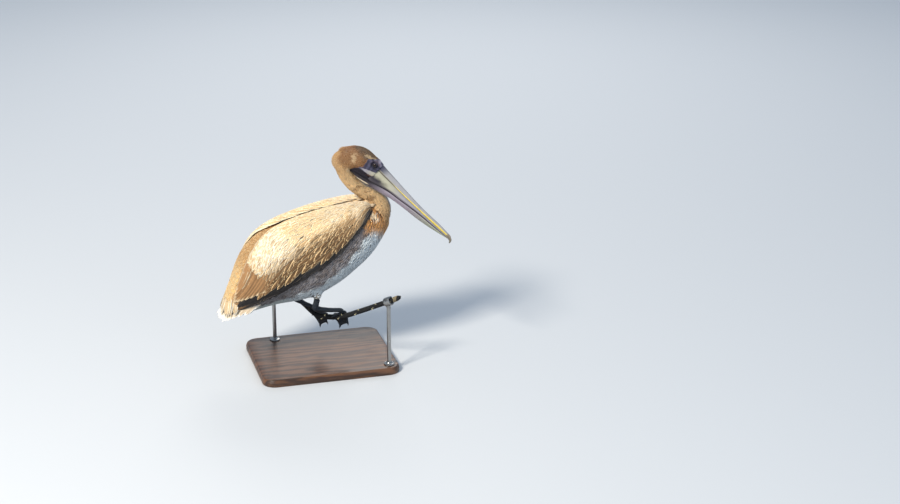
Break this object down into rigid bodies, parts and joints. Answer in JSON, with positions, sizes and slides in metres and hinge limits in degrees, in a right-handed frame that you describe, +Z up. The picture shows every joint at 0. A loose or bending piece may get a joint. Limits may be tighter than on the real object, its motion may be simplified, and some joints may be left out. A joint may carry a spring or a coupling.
{
  "type": "brown pelican perched on a rope",
  "caption": "Life-size immature brown pelican standing on a short sagging rope, head turned to its right and bill slanting down, held on a wooden base by two rods.",
  "frame": {"origin": "centre of the stand base's underside, on the floor", "axes": "+X the way the bird's body faces, +Y to its left, +Z up"},
  "size_m": [0.6842, 0.3525, 0.6794],
  "materials": {
    "plumage_back": "soft matt feathers, white under the body and grey-brown at the flanks",
    "plumage_wing": "matt tan feathers with dark brown centres",
    "plumage_neck": "short velvety golden-brown feathers",
    "plumage_tail": "stiff cream-edged feathers",
    "bill_horn": "satin horn, grey with an olive base and a yellowish ridge line",
    "pouch_skin": "smooth grey skin",
    "eye_dark": "wet gloss",
    "leg_skin": "dark slate scaly skin",
    "rope_dark": "weathered braid with pale flecks",
    "base_wood": "satin hardwood",
    "rod_steel": "brushed"
  },
  "bodies": {
    "root": {"trunk": "plumage_back", "wing_left": "plumage_wing", "wing_right": "plumage_wing", "neck_lower": "plumage_neck", "neck_upper": "plumage_neck", "head": "plumage_neck", "eye_left": "eye_dark", "eye_right": "eye_dark", "bill_upper": "bill_horn", "bill_lower": "pouch_skin", "tail": "plumage_tail", "thigh_left": "plumage_back", "thigh_right": "plumage_back", "leg_left": "leg_skin", "leg_right": "leg_skin", "foot_left": "leg_skin", "foot_right": "leg_skin", "perch_rope": "rope_dark", "stand_base": "base_wood", "stand_clamp_front": "rod_steel", "stand_clamp_rear": "rod_steel", "stand_rod_front": "rod_steel", "stand_rod_rear": "rod_steel"}
  },
  "joints": []
}
